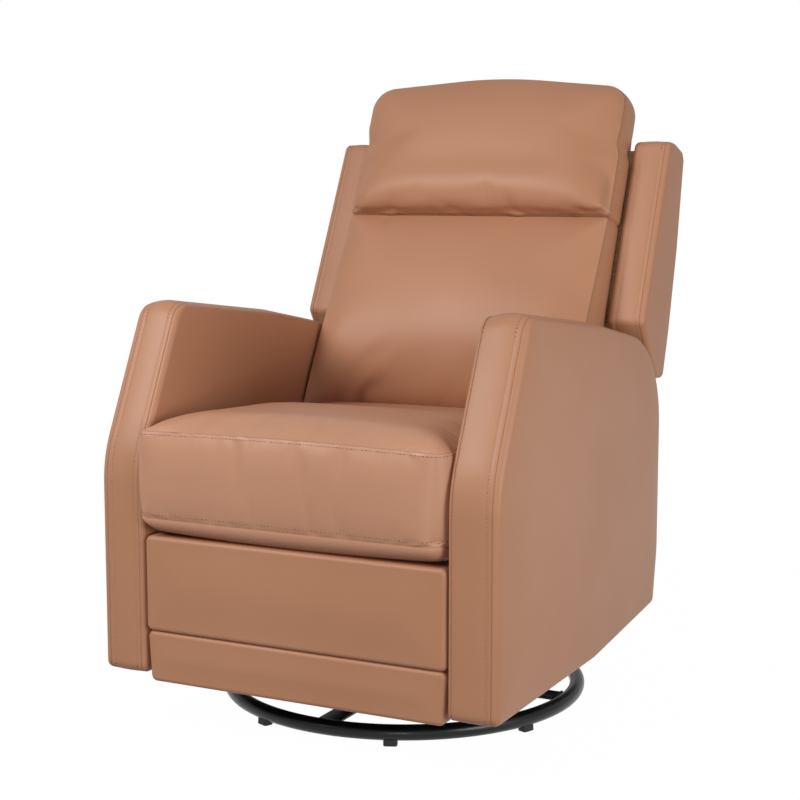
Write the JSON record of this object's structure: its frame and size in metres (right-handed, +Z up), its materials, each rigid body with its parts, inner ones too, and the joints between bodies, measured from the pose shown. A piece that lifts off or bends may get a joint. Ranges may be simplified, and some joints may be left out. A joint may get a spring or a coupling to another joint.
{
  "type": "swivel glider recliner",
  "caption": "Upholstered armchair that swivels on a round tube base, glides on swing links, reclines and lifts a footrest from under its seat.",
  "frame": {"origin": "on the floor, at the middle of the chair's outline seen from above, with the back upright and the footrest closed", "axes": "+Z up, the sitter faces -Y, +X to the right of someone who faces the chair; the chair mirrors across X"},
  "size_m": [0.684, 0.8968, 1.0484],
  "materials": {
    "leather": "tan faux leather with a soft sheen and fine grain",
    "plywood": "bare sawn plywood",
    "black_steel": "semi-gloss black powder coat",
    "zinc_steel": "zinc-plated pressed steel",
    "webbing": "woven elastic webbing",
    "foot_rubber": "matte black rubber"
  },
  "bodies": {
    "base": {"base_ring": "black_steel", "crossbar_lengthwise": "black_steel", "crossbar_sideways": "black_steel", "foot_1": "foot_rubber", "foot_2": "foot_rubber", "foot_3": "foot_rubber", "foot_4": "foot_rubber", "foot_5": "foot_rubber", "foot_6": "foot_rubber", "foot_7": "foot_rubber", "foot_8": "foot_rubber", "turntable_lower": "zinc_steel", "centre_bolt": "zinc_steel"},
    "ball_cage": {"ball_cage": "zinc_steel"},
    "swivel_frame": {"turntable_upper": "zinc_steel", "glider_tray": "black_steel", "glider_bracket_left": "black_steel", "glider_bracket_right": "black_steel"},
    "glide_link_front_left": {"glide_link_front_left": "zinc_steel"},
    "glide_link_front_right": {"glide_link_front_right": "zinc_steel"},
    "glide_link_rear_left": {"glide_link_rear_left": "zinc_steel"},
    "glide_link_rear_right": {"glide_link_rear_right": "zinc_steel"},
    "seat": {"side_plate_left": "zinc_steel", "side_plate_right": "zinc_steel", "seat_rail_front": "plywood", "seat_rail_rear": "plywood", "seat_spring_1": "zinc_steel", "seat_spring_2": "zinc_steel", "seat_spring_3": "zinc_steel", "seat_spring_4": "zinc_steel", "arm_frame_left": "plywood", "arm_frame_right": "plywood", "arm_cover_left": "leather", "arm_cover_right": "leather", "seat_cushion": "leather", "lower_rear_panel": "leather"},
    "back": {"back_post_left": "plywood", "back_post_right": "plywood", "back_rail_bottom": "plywood", "back_rail_top": "plywood", "back_strap_1": "webbing", "back_strap_2": "webbing", "head_block": "plywood", "lumbar_cushion": "leather", "head_pillow": "leather", "outside_back": "leather", "wing_left": "leather", "wing_right": "leather", "recline_hinge_left": "zinc_steel", "recline_hinge_right": "zinc_steel"},
    "footrest_lower_links": {"torque_tube": "zinc_steel", "footrest_link_lower_left": "zinc_steel", "footrest_link_lower_right": "zinc_steel"},
    "footrest_upper_links": {"footrest_link_upper_left": "zinc_steel", "footrest_link_upper_right": "zinc_steel"},
    "footrest_panel": {"footrest_board": "plywood", "footrest_bracket_left": "zinc_steel", "footrest_bracket_right": "zinc_steel", "footrest_pad_upper": "leather", "footrest_strip_lower": "leather"}
  },
  "joints": [
    {"name": "swivel", "type": "hinge", "parent": "base", "child": "swivel_frame", "pos_m": [0, -0.05136, 0.05], "axis": [0, 0, 1], "continuous": true},
    {"name": "ball_cage_turn", "type": "hinge", "parent": "base", "child": "ball_cage", "pos_m": [0, -0.05136, 0.038], "axis": [0, 0, 1], "continuous": true},
    {"name": "glide", "type": "hinge", "parent": "swivel_frame", "child": "glide_link_front_left", "pos_m": [-0.197, -0.15136, 0.218], "axis": [1, 0, 0], "range_deg": [-24, 24]},
    {"name": "glide_front_right", "type": "hinge", "parent": "swivel_frame", "child": "glide_link_front_right", "pos_m": [0.197, -0.15136, 0.218], "axis": [1, 0, 0], "range_deg": [-24.5, 24.5]},
    {"name": "glide_rear_left", "type": "hinge", "parent": "swivel_frame", "child": "glide_link_rear_left", "pos_m": [-0.197, 0.04864, 0.218], "axis": [1, 0, 0], "range_deg": [-24.5, 24.5]},
    {"name": "glide_rear_right", "type": "hinge", "parent": "swivel_frame", "child": "glide_link_rear_right", "pos_m": [0.197, 0.04864, 0.218], "axis": [1, 0, 0], "range_deg": [-24.5, 24.5]},
    {"name": "seat_level", "type": "hinge", "parent": "glide_link_front_left", "child": "seat", "pos_m": [-0.197, -0.15136, 0.108], "axis": [1, 0, 0], "range_deg": [-24.5, 24.5]},
    {"name": "back_recline", "type": "hinge", "parent": "seat", "child": "back", "pos_m": [0, 0.18864, 0.375], "axis": [-1, 0, 0], "range_deg": [0, 38]},
    {"name": "footrest_lift", "type": "hinge", "parent": "seat", "child": "footrest_lower_links", "pos_m": [0, -0.29136, 0.312], "axis": [-1, 0, 0], "range_deg": [0, 108]},
    {"name": "footrest_fold", "type": "hinge", "parent": "footrest_lower_links", "child": "footrest_upper_links", "pos_m": [0, -0.19682, 0.15298], "axis": [-1, 0, 0], "range_deg": [-110.5, 0.5]},
    {"name": "footrest_tilt", "type": "hinge", "parent": "footrest_upper_links", "child": "footrest_panel", "pos_m": [0, -0.37436, 0.205], "axis": [-1, 0, 0], "range_deg": [-0.5, 87.5]}
  ],
  "couplings": [
    {"joint": "ball_cage_turn", "follows": "swivel", "ratio": 0.5},
    {"joint": "glide_front_right", "follows": "glide", "ratio": 1},
    {"joint": "glide_rear_left", "follows": "glide", "ratio": 1},
    {"joint": "glide_rear_right", "follows": "glide", "ratio": 1},
    {"joint": "seat_level", "follows": "glide", "ratio": -1},
    {"joint": "footrest_fold", "follows": "footrest_lift", "ratio": -1.018},
    {"joint": "footrest_tilt", "follows": "footrest_lift", "ratio": 0.803}
  ]
}
